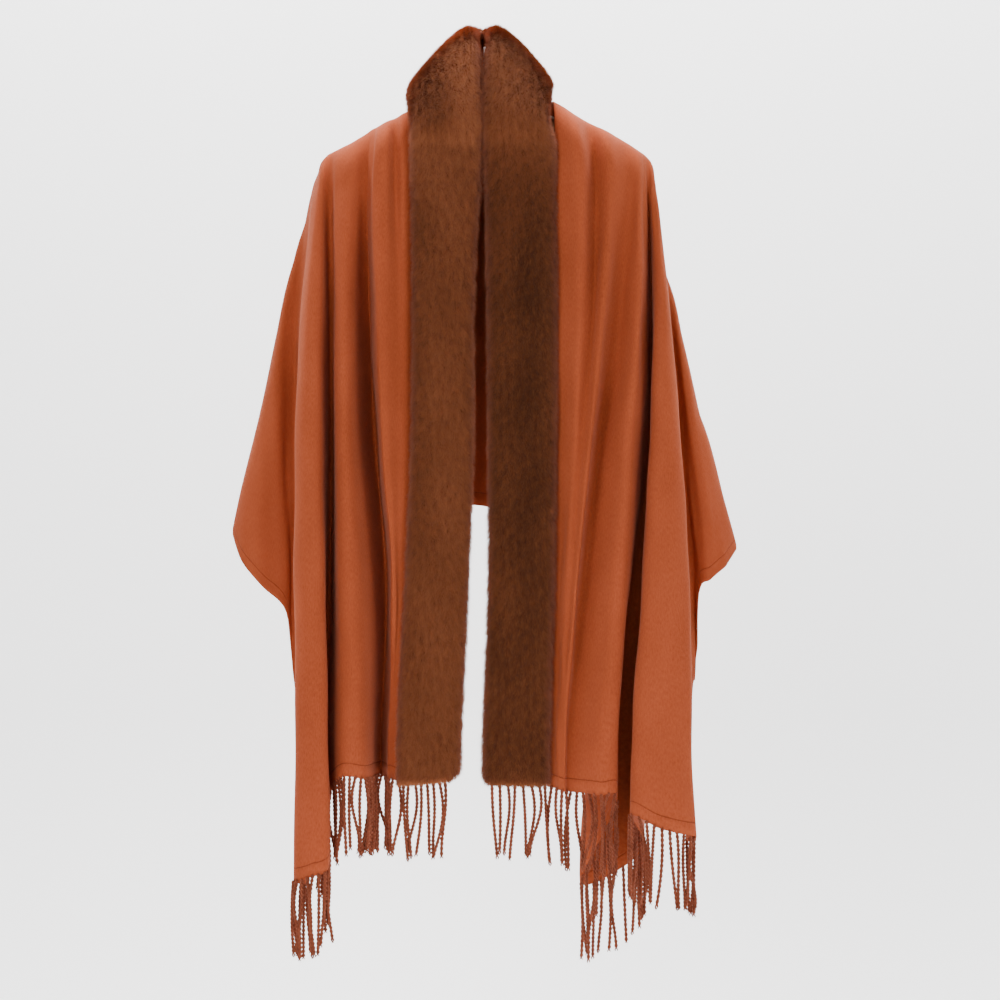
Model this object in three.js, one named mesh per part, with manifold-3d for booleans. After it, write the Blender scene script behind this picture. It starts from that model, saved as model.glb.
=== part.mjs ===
// A fringed wool shawl with a plush fur collar band, hung on a plain hanger.
// The cloth is one long rectangle. Its fur edge passes behind the neck and falls down both fronts,
// the middle hangs down the back, and the corners beside the shoulders flare out as two wings.
// Millimetres, +Z up, the front faces -Y. The origin is the inside top of the hanger's hook.
import * as THREE from "three";
import { mergeVertices } from "three/addons/utils/BufferGeometryUtils.js";
import Module from "manifold-3d";

const wasm = await Module();
wasm.setup();

const CLOTH_THICK = 2;
const SEAM_GAP = 0.4;
const SHOULDER_ROUND = 45; // height over which the cloth rolls off the shoulder line, where a row gives no other
const SHOULDER_Y = 0; // depth of the hanger and of the shoulder line

const FRONT_ROWS = 14;
const FRONT_CROWDING = 1.4; // rows stand closer together near the shoulder
const STEPS_PER_FOLD = 2;
const BACK_COLUMNS = 44;
const BACK_ROWS = 10;
const BACK_CROWDING = 1.3;
const LEVEL_CLEARANCE = 12; // a level counts for a fold from this far below its crest

// Heights at which the fold tables give each fold's place.
const LEVELS = [-160, -300, -450, -610, -790, -940];

// One row per fold of a front, from the fur outwards and round to the wing's tip.
// crest: x and z where the fold leaves the shoulder line; x, y: its place at each level; hem: its lower end;
// round: the height over which it rolls off the shoulder line.
const LEFT_FOLDS = [
  {
    fold: "seam", crest: [-84, -69], hem: -836,
    x: [-81, -79, -80, -87, -96, -94], y: [-34, -42, -46, -48, -48, -48],
  },
  {
    fold: "neck edge", crest: [-94, -73], hem: -835,
    x: [-93, -90, -91, -93, -100, -99], y: [-40, -49, -52, -51, -48, -48],
  },
  {
    fold: "neck crease", crest: [-102, -78], hem: -834,
    x: [-102, -99.5, -100, -97.5, -103.5, -103], y: [-35, -53, -57, -52, -46, -46],
  },
  {
    fold: "inner ridge", crest: [-112, -82.5], hem: -833,
    x: [-111.5, -113, -110, -101.5, -106.5, -106.5], y: [-48, -66, -66, -55, -43, -43],
  },
  {
    fold: "valley brink", crest: [-122, -88], hem: -833,
    x: [-126, -124, -118, -106, -110, -110], y: [-45, -62, -62, -50, -38, -38],
  },
  {
    fold: "deep valley", crest: [-129, -91], hem: -832,
    x: [-132, -130, -123.5, -111.5, -115, -115], y: [-31, -18, -9, -6, -12, -14],
  },
  {
    fold: "deep floor", crest: [-136, -96], hem: -832,
    x: [-137, -136, -131, -118, -122, -122], y: [-31, -18, -9, -6, -12, -14],
  },
  {
    fold: "broad ridge", crest: [-152, -106], hem: -830,
    x: [-153, -154, -152, -142, -134, -134], y: [-40, -62, -74, -77, -78, -78],
  },
  {
    fold: "broad shelf", crest: [-168, -114], hem: -827,
    x: [-168, -168, -168, -164, -159, -159], y: [-36, -56, -66, -76, -84, -84],
  },
  {
    fold: "narrow valley", crest: [-176, -118], hem: -848,
    x: [-174, -173, -172, -172, -178, -179], y: [-26, -30, -28, -30, -40, -42],
  },
  {
    fold: "valley floor", crest: [-180, -120], hem: -868,
    x: [-179, -179, -179, -180, -187, -188], y: [-25, -29, -27, -29, -39, -41],
  },
  {
    fold: "outer ridge", crest: [-185, -125], hem: -925,
    x: [-185, -184, -183, -180, -175, -173], y: [-30, -54, -68, -78, -86, -88],
  },
  {
    fold: "outer face", crest: [-189, -131], hem: -938,
    x: [-190, -198, -200, -199, -195, -194], y: [-28, -60, -74, -84, -92, -94],
  },
  {
    fold: "outer edge", crest: [-192, -142], hem: -945,
    x: [-194.5, -208.5, -214, -215, -212, -215], y: [-18, -42, -58, -68, -76, -78],
  },
  {
    fold: "hidden turn", crest: [-200, -166], hem: -940, round: 50,
    x: [-200, -209, -212, -210, -201, -198], y: [-10, -22, -30, -38, -46, -48],
  },
  {
    fold: "tucked edge", crest: [-207, -199], hem: -830, round: 60,
    x: [-207, -214, -217, -214, -204, -201], y: [-8, -10, -12, -18, -28, -30],
  },
  {
    fold: "wing root", crest: [-220, -242], hem: -712, round: 90,
    x: [-220, -224, -225, -221.5, -219, -219], y: [-12, -12, -14, -16, -18, -18],
  },
  {
    fold: "wing face", crest: [-238.5, -320], hem: -646, round: 120,
    x: [-238, -238, -236, -227, -226, -226], y: [-22, -22, -22, -22, -22, -22],
  },
  {
    fold: "wing middle", crest: [-258, -413], hem: -616, round: 130,
    x: [-258, -258, -257, -254, -254, -254], y: [-26, -26, -26, -26, -26, -26],
  },
  {
    fold: "wing outer", crest: [-280, -502], hem: -588, round: 110,
    x: [-280, -280, -280, -277, -277, -277], y: [-20, -20, -20, -20, -20, -20],
  },
  {
    fold: "wing tip", crest: [-290, -549], hem: -557,
    x: [-290, -290, -290, -289, -289, -289], y: [-9, -9, -9, -9, -9, -9],
  },
];

const RIGHT_FOLDS = [
  {
    fold: "seam", crest: [79, -59], hem: -842,
    x: [78, 79, 78, 76, 71, 70], y: [-34, -42, -46, -48, -48, -48],
  },
  {
    fold: "neck edge", crest: [91, -66], hem: -843,
    x: [90, 91, 89, 85, 79.5, 79], y: [-41, -49, -53, -53, -53, -53],
  },
  {
    fold: "yoke fold", crest: [104, -75], hem: -844,
    x: [110, 108, 101, 91.5, 83.5, 82.5], y: [-50, -62, -67, -64, -60, -59],
  },
  {
    fold: "dimple", crest: [120, -84], hem: -845,
    x: [126, 123, 110, 98, 87, 86], y: [-24, -48, -64, -66, -63, -62],
  },
  {
    fold: "inner ridge", crest: [139, -93], hem: -846,
    x: [143, 134, 120, 104.5, 91.5, 90.5], y: [-42, -64, -72, -71, -64, -62],
  },
  {
    fold: "slant valley", crest: [160, -105], hem: -847,
    x: [164, 153, 131, 114.5, 99, 98], y: [-28, -36, -38, -44, -52, -54],
  },
  {
    fold: "slant ridge", crest: [174, -114], hem: -848,
    x: [175, 172, 158, 145, 131, 127], y: [-33, -58, -72, -78, -80, -80],
  },
  {
    fold: "valley lip", crest: [180, -118], hem: -856,
    x: [181, 180, 172, 162, 150.5, 148], y: [-27, -48, -60, -66, -68, -68],
  },
  {
    fold: "deep valley", crest: [184, -121], hem: -958,
    x: [185, 188, 184, 166, 124, 110], y: [-20, -20, -18, -14, -12, -12],
  },
  {
    fold: "pocket back", crest: [188, -125], hem: -920,
    x: [188, 191, 190, 181, 180, 182], y: [-18, -17, -12, -6, -2, -2],
  },
  {
    fold: "outer ridge", crest: [191, -129], hem: -870,
    x: [191, 193.5, 187, 178, 164.5, 161], y: [-21.5, -48, -62, -72, -80, -82],
  },
  {
    fold: "outer face", crest: [193.5, -136], hem: -884,
    x: [194.5, 203, 207, 204, 197, 196], y: [-21.5, -56, -74, -84, -92, -94],
  },
  {
    fold: "outer edge", crest: [195, -148], hem: -894,
    x: [197.5, 209, 221, 229.5, 231.5, 238], y: [-16, -42, -58, -68, -76, -78],
  },
  {
    fold: "hidden turn", crest: [198, -182], hem: -890, round: 50,
    x: [199, 207.5, 217.5, 224, 225, 229], y: [-10, -22, -30, -38, -46, -48],
  },
  {
    fold: "tucked edge", crest: [201, -213], hem: -738, round: 60,
    x: [202, 211, 222, 232, 238, 239], y: [-8, -10.5, -13, -19, -26, -28],
  },
  {
    fold: "wing root", crest: [206, -252], hem: -716, round: 90,
    x: [206, 214, 227, 239, 241, 241], y: [-10, -10.5, -13.5, -16, -18, -18],
  },
  {
    fold: "wing face", crest: [226, -326], hem: -624, round: 120,
    x: [226, 226, 233, 243, 243, 243], y: [-22, -22, -22, -22, -22, -22],
  },
  {
    fold: "wing middle", crest: [247, -419], hem: -608, round: 130,
    x: [247, 247, 251, 258, 258, 258], y: [-26, -26, -26, -26, -26, -26],
  },
  {
    fold: "wing outer", crest: [273, -509], hem: -592, round: 110,
    x: [273, 273, 273, 276, 276, 276], y: [-20, -20, -20, -20, -20, -20],
  },
  {
    fold: "wing tip", crest: [289, -568], hem: -574,
    x: [289, 289, 289, 289, 289, 289], y: [-9, -9, -9, -9, -9, -9],
  },
];

// Soft folds of the back: across gives the place from the left tip (-1) to the right tip (1).
const BACK_DEPTH = 62; // how far the middle of the back stands behind the shoulder line
const TIP_DEPTH = 26; // and the two tips
const BACK_ROUND = 150; // height over which the back rolls off the shoulder line
const BACK_FOLD_START = 260; // height over which its folds grow
const BACK_FOLD_LIFT = 0.35; // how far the hem falls for each millimetre of a fold
const BACK_FOLDS = [
  { across: -0.78, width: 0.13, depth: 15 },
  { across: -0.52, width: 0.1, depth: -17 },
  { across: -0.3, width: 0.12, depth: 14 },
  { across: -0.07, width: 0.1, depth: -12 },
  { across: 0.15, width: 0.11, depth: 13 },
  { across: 0.38, width: 0.1, depth: -18 },
  { across: 0.62, width: 0.12, depth: 16 },
  { across: 0.84, width: 0.08, depth: -9 },
];
const BACK_HEM = -527; // height of the hem at the middle of the back
const BACK_SEAM = { y: 30, z: -58 }; // middle of the seam under the collar, behind the neck

// The fur band. Below the neck its edges follow these inner and outer sides.
const FUR_OUT = 17; // how far the pile stands in front of the cloth
const FUR_IN = 5; // and behind it
const FUR_HEM = -838;
// Heights of the band's cross lines below the neck, the hem first.
const FUR_HEIGHTS = [FUR_HEM, -822, -790, -740, -680, -610, -530, -450, -375, -300, -230, -170, -118];
const FUR_CORNER_RISE = 0.6; // how far the corner rises for each millimetre cut off it
const FUR_DISH = 1; // how far the band's middle stands in front of its edges
const CROWN_POWER = 3.2; // how square the band's cross section is: 2 is round
const FUR_END_SHARE = [0.45, 0.85]; // thickness of the band's first two sections at the hem
const FUR_SIDES = {
  left: { inner: [-4, -11, -11, -16, -24.5, -28], hemCorner: 10, sign: 1, neckWidth: 0.94, neckRise: 0 },
  right: { inner: [-1, 0.5, 1.5, 1.5, -5, -6], hemCorner: 3, sign: -1, neckWidth: 0.86, neckRise: 10 },
};
const FUR_LAP = { x: 5, y: 4 }; // how far the cloth's edge is tucked in behind the band
const FUR_TILT = 4; // how far the inner edge stands behind the outer one
const MEET_X = -2.3; // the two halves of the collar meet on this line
// Above the highest cross line the band turns over the shoulder line.
// One row per section of the turn, from the front to the middle of the back: x out from the meeting line, y, z.
const FUR_TURN = [
  { at: "collarbone", inner: [0.7, -40, -80], middle: [46, -43, -86], outer: [90, -38, -92] },
  { at: "side of neck", inner: [0.7, -35, -40], middle: [54, -27, -44], outer: [90, -4, -57] },
  { at: "under the ear", inner: [3.2, -28, -6], middle: [46, -7, -15], outer: [75, 24, -60] },
  { at: "nape side", inner: [6, -13, 13], middle: [30, 12, -3], outer: [44, 33.5, -63] },
  { at: "nape", inner: [8, -1, 17.5], middle: [14, 21, -3], outer: [19, 35.5, -64] },
  { at: "centre back", inner: [0.4, 8, 20], middle: [0.4, 24, -4], outer: [0.4, 36, -64] },
];
const FUR_SECTIONS = 26;
const FUR_ACROSS = 8;

const STRANDS = 60; // along each end of the shawl
const FUR_STRIP_DROP = 0.8; // from the band's hem down to the strip
const FRINGE_LENGTH = 88;
const FRINGE_STRIP = 4; // height of the strip that the strands grow from
const STRAND_WIDTH = 4;
const STRAND_STEPS = 3;
const STRAND_SIDES = 3;
const STRAND_LEAN = 1.8; // how far a strand's end swings to either side
const STRAND_VARY = 0.05; // share of its length by which a strand is longer or shorter
const STRAND_TAPER = 0.55; // width of a strand's end as a share of its root

// The hanger: one row per section of an arm, from the middle to the tip.
const ARM_SECTIONS = [
  { x: 0, z: -69, radius: 9 },
  { x: 45, z: -74, radius: 9 },
  { x: 90, z: -90, radius: 9 },
  { x: 132, z: -108.6, radius: 8.5 },
  { x: 162, z: -125, radius: 7.8 },
  { x: 170, z: -129, radius: 4.5 },
];
const ARM_TOP = ARM_SECTIONS[0].z + ARM_SECTIONS[0].radius;
const ARM_SIDES = 10;
const WIRE_RADIUS = 2;
const HOOK_RADIUS = 12; // middle of the wire
const HOOK_STEPS = 12;
const HOOK_END = 205; // degrees from +Y, where the loop ends; it starts at its bottom
const WIRE_SIDES = 8;
const COLLET = { radius: 5, height: 7 };

const RUST = { color: 0xa84f2c, roughness: 0.85, metalness: 0 };
const FUR_BROWN = { color: 0x74411f, roughness: 0.95, metalness: 0 };
const WOOD = { color: 0x8a6a48, roughness: 0.6, metalness: 0 };
const STEEL = { color: 0x8d8f92, roughness: 0.35, metalness: 1 };

const mix = (a, b, t) => a + (b - a) * t;
const clamp = (value, low, high) => Math.min(high, Math.max(low, value));

// A smooth line through evenly spaced values, read at a place from 0 to the last index.
function through(values, place) {
  const last = values.length - 1;
  const i = clamp(Math.floor(place), 0, last - 1);
  const t = place - i;
  const a = values[Math.max(i - 1, 0)];
  const b = values[i];
  const c = values[i + 1];
  const d = values[Math.min(i + 2, last)];
  const curve = 2 * a - 5 * b + 4 * c - d + t * (3 * b - a - 3 * c + d);
  return b + 0.5 * t * (c - a + t * curve);
}

// A smooth line through values given at falling heights, held level past both ends.
function atHeight(heights, values, z) {
  const last = heights.length - 1;
  if (z >= heights[0]) return values[0];
  if (z <= heights[last]) return values[last];
  const i = heights.findIndex((h) => z >= h) - 1;
  const slope = (k) => {
    const low = Math.max(k - 1, 0);
    const high = Math.min(k + 1, last);
    return (values[high] - values[low]) / (heights[high] - heights[low]);
  };
  const span = heights[i + 1] - heights[i];
  const t = (z - heights[i]) / span;
  const t2 = t * t;
  const t3 = t2 * t;
  const start = (2 * t3 - 3 * t2 + 1) * values[i] + (t3 - 2 * t2 + t) * span * slope(i);
  return start + (3 * t2 - 2 * t3) * values[i + 1] + (t3 - t2) * span * slope(i + 1);
}

// How far a point that lies drop below the shoulder line has rolled away from it, from 0 to 1.
function roll(drop, round) {
  const left = 1 - clamp(drop / round, 0, 1);
  return Math.sqrt(1 - left * left);
}

// The point of a front at a place along its folds and a height.
function frontPoint(folds, place, z) {
  const xs = folds.map((f) => {
    const below = LEVELS.filter((level) => level < f.crest[1] - LEVEL_CLEARANCE);
    const from = LEVELS.length - below.length;
    return atHeight([f.crest[1], ...below], [f.crest[0], ...f.x.slice(from)], z);
  });
  const ys = folds.map((f) => atHeight(LEVELS, f.y, z));
  const drop = crestAt(folds, place).z - z;
  const round = through(folds.map((f) => f.round ?? SHOULDER_ROUND), place);
  const y = SHOULDER_Y - SEAM_GAP / 2 + through(ys, place) * roll(drop, round);
  return new THREE.Vector3(through(xs, place), y, z);
}

function crestAt(folds, place) {
  const x = through(folds.map((f) => f.crest[0]), place);
  return { x, z: through(folds.map((f) => f.crest[1]), place) };
}

function hemAt(folds, place) {
  return through(folds.map((f) => f.hem), place);
}

// The grid of a front: a column for each step along the folds, from the shoulder line to the hem.
function frontGrid(folds) {
  const columns = (folds.length - 1) * STEPS_PER_FOLD;
  return Array.from({ length: columns + 1 }, (_, i) => {
    const place = i / STEPS_PER_FOLD;
    const top = crestAt(folds, place).z;
    const hem = hemAt(folds, place);
    return Array.from({ length: FRONT_ROWS + 1 }, (_, j) => {
      const fall = (j / FRONT_ROWS) ** FRONT_CROWDING;
      return frontPoint(folds, place, mix(top, hem, fall));
    });
  });
}

// The point of the seam under the collar, turned from the side of the neck (0) to its back (90 degrees).
function neckSeam(folds, degrees) {
  const [sideX, sideZ] = folds[0].crest;
  const turn = (degrees * Math.PI) / 180;
  const x = sideX * Math.cos(turn);
  const z = sideZ + (BACK_SEAM.z - sideZ) * Math.sin(turn);
  return new THREE.Vector3(x, BACK_SEAM.y * Math.sin(turn), z);
}

// The top edge of the back, from the middle (0) out along the collar seam, shoulder and wing to the tip (1).
const NECK_SHARE = 0.3;
function backTop(folds, out) {
  if (out < NECK_SHARE) return neckSeam(folds, 90 * (1 - out / NECK_SHARE));
  const place = ((out - NECK_SHARE) / (1 - NECK_SHARE)) * (folds.length - 1);
  const crest = crestAt(folds, place);
  return new THREE.Vector3(crest.x, SHOULDER_Y, crest.z);
}

function backFolds(across) {
  const bump = (f) => f.depth * Math.exp(-(((across - f.across) / f.width) ** 2));
  return BACK_FOLDS.reduce((sum, f) => sum + bump(f), 0);
}

function backPoint(across, fall) {
  const folds = across < 0 ? LEFT_FOLDS : RIGHT_FOLDS;
  const out = Math.abs(across);
  const tip = folds.at(-1);
  const top = backTop(folds, out);
  const hemX = tip.crest[0] * out;
  const hem = mix(BACK_HEM, tip.hem, out * out) - BACK_FOLD_LIFT * backFolds(across);
  const z = mix(top.z, hem, fall);
  const drop = top.z - z;
  const depth = mix(BACK_DEPTH, TIP_DEPTH, out * out) + backFolds(across) * clamp(drop / BACK_FOLD_START, 0, 1);
  const y = mix(top.y + SEAM_GAP / 2, depth, roll(drop, BACK_ROUND));
  const x = mix(top.x, hemX, Math.sin((fall * Math.PI) / 2));
  return new THREE.Vector3(x, y, z);
}

function backGrid() {
  return Array.from({ length: BACK_COLUMNS + 1 }, (_, i) => {
    const across = mix(-1, 1, i / BACK_COLUMNS);
    return Array.from({ length: BACK_ROWS + 1 }, (_, j) => backPoint(across, (j / BACK_ROWS) ** BACK_CROWDING));
  });
}

// The mean direction of a line that comes from one point through a second one to a third.
function direction(from, here, to) {
  const before = here.clone().sub(from).normalize();
  return to.clone().sub(here).normalize().add(before);
}

// The unit normals of a grid of points.
function gridNormals(grid) {
  const columns = grid.length - 1;
  const rows = grid[0].length - 1;
  return grid.map((column, i) =>
    column.map((here, j) => {
      const along = direction(grid[Math.max(i - 1, 0)][j], here, grid[Math.min(i + 1, columns)][j]);
      const down = direction(column[Math.max(j - 1, 0)], here, column[Math.min(j + 1, rows)]);
      const normal = along.cross(down);
      // The end on the shoulder line is plain.
      if (j === 0 && Math.abs(here.y - SHOULDER_Y) < SEAM_GAP) normal.y = 0;
      return normal.normalize();
    }),
  );
}

function geometryOf(points, triangles) {
  const geometry = new THREE.BufferGeometry();
  const numbers = points.flatMap((p) => p.toArray());
  geometry.setAttribute("position", new THREE.Float32BufferAttribute(numbers, 3));
  geometry.setIndex(triangles);
  return geometry;
}

// A closed wall on a grid: its given face, and a second one moved back along the normals.
function wall(grid, thick) {
  const columns = grid.length;
  const rows = grid[0].length;
  const normals = gridNormals(grid);
  const back = grid.map((column, i) => column.map((p, j) => p.clone().addScaledVector(normals[i][j], -thick)));
  const points = [...grid.flat(), ...back.flat()];
  const front = (i, j) => i * rows + j;
  const behind = (i, j) => columns * rows + i * rows + j;
  const triangles = [];
  const quad = (a, b, c, d) => triangles.push(a, b, c, a, c, d);
  for (let i = 0; i + 1 < columns; i++) {
    for (let j = 0; j + 1 < rows; j++) {
      quad(front(i, j), front(i + 1, j), front(i + 1, j + 1), front(i, j + 1));
      quad(behind(i, j), behind(i, j + 1), behind(i + 1, j + 1), behind(i + 1, j));
    }
    quad(front(i, 0), behind(i, 0), behind(i + 1, 0), front(i + 1, 0));
    quad(front(i, rows - 1), front(i + 1, rows - 1), behind(i + 1, rows - 1), behind(i, rows - 1));
  }
  for (let j = 0; j + 1 < rows; j++) {
    quad(front(0, j), front(0, j + 1), behind(0, j + 1), behind(0, j));
    const end = columns - 1;
    quad(front(end, j), behind(end, j), behind(end, j + 1), front(end, j + 1));
  }
  return geometryOf(points, triangles);
}

// Triangles that close a ring, running to and fro between its two sides.
function zigzag(sides) {
  const order = Array.from({ length: sides }, (_, k) => (k % 2 ? (k + 1) / 2 : (sides - k / 2) % sides));
  return order.slice(2).map((c, k) => (k % 2 ? [order[k], c, order[k + 1]] : [order[k], order[k + 1], c]));
}

// A closed tube through rings of points that turn the same way round.
function tube(rings) {
  const sides = rings[0].length;
  const triangles = [];
  rings.slice(1).forEach((_, k) => {
    for (let i = 0; i < sides; i++) {
      const a = k * sides + i;
      const b = k * sides + ((i + 1) % sides);
      triangles.push(a, b, b + sides, a, b + sides, a + sides);
    }
  });
  const last = (rings.length - 1) * sides;
  for (const [a, b, c] of zigzag(sides)) {
    triangles.push(a, c, b);
    triangles.push(last + a, last + b, last + c);
  }
  return geometryOf(rings.flat(), triangles);
}

function turnedOut(geometry) {
  const p = geometry.getAttribute("position");
  const index = geometry.getIndex().array;
  let volume = 0;
  const a = new THREE.Vector3();
  const b = new THREE.Vector3();
  const c = new THREE.Vector3();
  for (let i = 0; i < index.length; i += 3) {
    a.fromBufferAttribute(p, index[i]);
    b.fromBufferAttribute(p, index[i + 1]);
    c.fromBufferAttribute(p, index[i + 2]);
    volume += a.dot(b.cross(c));
  }
  if (volume < 0) index.reverse();
  return geometry;
}

// A line across the fur band, from its inner to its outer edge, as three points.
function furLines(folds, side) {
  const { inner, hemCorner, sign, neckWidth, neckRise } = FUR_SIDES[side];
  const lines = FUR_HEIGHTS.map((z) => {
    const outer = frontPoint(folds, 0, z).add(new THREE.Vector3(-FUR_LAP.x * sign, -FUR_LAP.y, 0));
    const corner = z === FUR_HEM ? hemCorner : 0;
    const x = atHeight(LEVELS, inner, z) - corner * sign;
    const edge = new THREE.Vector3(x, outer.y + FUR_TILT, z + corner * FUR_CORNER_RISE);
    const middle = edge.clone().lerp(outer, 0.5);
    return [edge, middle.setY(middle.y - FUR_DISH), outer];
  });
  FUR_TURN.forEach((row, i) => {
    const rise = neckRise * (1 - i / (FUR_TURN.length - 1));
    const at = ([out, y, z], up) => new THREE.Vector3(MEET_X - out * sign * neckWidth, y, z + up);
    lines.push([at(row.inner, 0), at(row.middle, rise / 2), at(row.outer, rise)]);
  });
  return lines;
}

// The band's own surface, as a grid of columns along it and places across it.
function furGrid(folds, side) {
  const lines = furLines(folds, side);
  const edges = [0, 1, 2].map((k) => new THREE.CatmullRomCurve3(lines.map((line) => line[k])));
  return Array.from({ length: FUR_SECTIONS + 1 }, (_, i) => {
    const along = furStation(i / FUR_SECTIONS);
    const [inner, middle, outer] = edges.map((edge) => edge.getPoint(along));
    return Array.from({ length: FUR_ACROSS + 1 }, (_, j) => {
      const w = j / FUR_ACROSS;
      const point = inner.clone().multiplyScalar((1 - w) * (1 - 2 * w));
      point.addScaledVector(middle, 4 * w * (1 - w));
      return point.addScaledVector(outer, w * (2 * w - 1));
    });
  });
}

// Half of the sections stand below this share of the band's lines, and half above it.
const FUR_HALFWAY = 0.62;
function furStation(share) {
  return share < 0.5 ? mix(0, FUR_HALFWAY, share * 2) : mix(FUR_HALFWAY, 1, share * 2 - 1);
}

function furBand(folds, side) {
  const grid = furGrid(folds, side);
  const normals = gridNormals(grid);
  const flip = FUR_SIDES[side].sign;
  normals.at(-1).forEach((n) => n.setX(0).normalize()); // the end at the centre back is flat
  normals.at(-2).forEach((n) => n.setX(n.x / 2).normalize());
  const rings = grid.map((column, i) => {
    const share = FUR_END_SHARE[i] ?? 1;
    const crown = column.map((_, j) => share * Math.sqrt(1 - Math.abs((2 * j) / FUR_ACROSS - 1) ** CROWN_POWER));
    const face = (thick) => column.map((p, j) => p.clone().addScaledVector(normals[i][j], thick * crown[j]));
    return [...face(flip * FUR_OUT), ...face(-flip * FUR_IN).slice(1, -1).reverse()];
  });
  return turnedOut(tube(rings));
}

// The lower rim that a fringe follows: pairs of points, on the front face and on the back face.
const RIM_DROP = { level: 1.4, steep: 1.6 }; // in seam gaps, more where the hem is steep
function fringeRim(folds, side, grid) {
  const { sign } = FUR_SIDES[side];
  const inward = CLOTH_THICK * sign;
  const normals = gridNormals(grid);
  const corner = folds.findIndex((f) => f.fold === "hidden turn") * STEPS_PER_FOLD;
  const band = furGrid(folds, side)[0].slice(1, -2);
  const below = FUR_HEM - FUR_STRIP_DROP;
  const underFur = band.map((p) => [
    new THREE.Vector3(p.x, p.y - CLOTH_THICK / 2, below),
    new THREE.Vector3(p.x, p.y + CLOTH_THICK / 2, below),
  ]);
  const alongHem = grid.slice(0, corner + 1).map((column, i) => {
    const face = column.at(-1).clone();
    const slope = Math.max(steepness(grid, i), steepness(grid, i + 1));
    face.z -= SEAM_GAP * (RIM_DROP.level + RIM_DROP.steep * slope);
    return [face, face.clone().addScaledVector(normals[i].at(-1), -inward)];
  });
  return [...underFur, ...alongHem];
}

// How steeply the hem runs between a column and the one before it.
function steepness(grid, i) {
  if (i < 1 || i >= grid.length) return 0;
  const a = grid[i - 1].at(-1);
  const b = grid[i].at(-1);
  return Math.abs(a.z - b.z) / Math.hypot(a.x - b.x, a.y - b.y);
}

function solid(geometry) {
  geometry.deleteAttribute("normal");
  geometry.deleteAttribute("uv");
  const merged = mergeVertices(geometry, 1e-3);
  const vertProperties = merged.getAttribute("position").array;
  const triVerts = new Uint32Array(merged.index.array);
  return new wasm.Manifold(new wasm.Mesh({ numProp: 3, vertProperties, triVerts }));
}

function geometryFrom(manifold) {
  const mesh = manifold.getMesh();
  const geometry = new THREE.BufferGeometry();
  geometry.setAttribute("position", new THREE.BufferAttribute(mesh.vertProperties, 3));
  geometry.setIndex(new THREE.BufferAttribute(mesh.triVerts, 1));
  return geometry;
}

function part(name, geometry, finish) {
  const mesh = new THREE.Mesh(geometry, new THREE.MeshStandardMaterial(finish));
  mesh.name = name;
  return mesh;
}

// The strip below the hem that the strands grow from.
function fringeStrip(rim) {
  const low = (p) => p.clone().setZ(p.z - FRINGE_STRIP);
  return tube(rim.map(([face, back]) => [back, low(back), low(face), face]));
}

// A small even scatter that is the same for each build.
const scatter = (n) => ((n * 0.61803) % 1) * 2 - 1;

function strand(root, number) {
  const lean = new THREE.Vector3(scatter(number), scatter(number * 3 + 1), 0).multiplyScalar(STRAND_LEAN);
  const length = FRINGE_LENGTH * (1 + STRAND_VARY * scatter(number * 7 + 2));
  const turn = scatter(number * 5) * Math.PI;
  return tube(
    Array.from({ length: STRAND_STEPS + 1 }, (_, k) => {
      const down = k / STRAND_STEPS;
      const centre = root.clone().addScaledVector(lean, down);
      centre.x += Math.sin(down * Math.PI * 1.5) * scatter(number * 11 + 4);
      centre.z -= length * down;
      const radius = (STRAND_WIDTH / 2) * mix(1, STRAND_TAPER, down * down);
      return Array.from({ length: STRAND_SIDES }, (_, corner) => {
        const angle = turn + (corner * 2 * Math.PI) / STRAND_SIDES;
        return centre.clone().add(new THREE.Vector3(Math.cos(angle) * radius, Math.sin(angle) * radius, 0));
      });
    }),
  );
}

// Evenly spaced places along the rim, measured level so that steep runs of the hem stay open.
function strandRoots(rim) {
  const middle = rim.map(([face, back]) => face.clone().lerp(back, 0.5));
  const runs = middle.slice(1).map((p, i) => Math.hypot(p.x - middle[i].x, p.y - middle[i].y));
  const pitch = runs.reduce((sum, run) => sum + run, 0) / STRANDS;
  const roots = [];
  let passed = 0;
  runs.forEach((run, i) => {
    while (roots.length < STRANDS && (roots.length + 0.5) * pitch <= passed + run) {
      const share = ((roots.length + 0.5) * pitch - passed) / run;
      const slope = Math.abs(middle[i + 1].z - middle[i].z) / run;
      const root = middle[i].clone().lerp(middle[i + 1], share);
      roots.push(root.setZ(root.z - FRINGE_STRIP / 2 - (slope * STRAND_WIDTH) / 2));
    }
    passed += run;
  });
  return roots;
}

function fringe(folds, side, grid) {
  const rim = fringeRim(folds, side, grid);
  const strands = strandRoots(rim).map(strand);
  const solids = [fringeStrip(rim), ...strands].map((geometry) => solid(turnedOut(geometry)));
  return geometryFrom(wasm.Manifold.union(solids));
}

function ring(centre, tangent, radius, sides, side) {
  const other = new THREE.Vector3().crossVectors(tangent, side).normalize();
  return Array.from({ length: sides }, (_, i) => {
    const angle = (i / sides) * 2 * Math.PI;
    const p = centre.clone().addScaledVector(side, Math.cos(angle) * radius);
    return p.addScaledVector(other, Math.sin(angle) * radius);
  });
}

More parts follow.
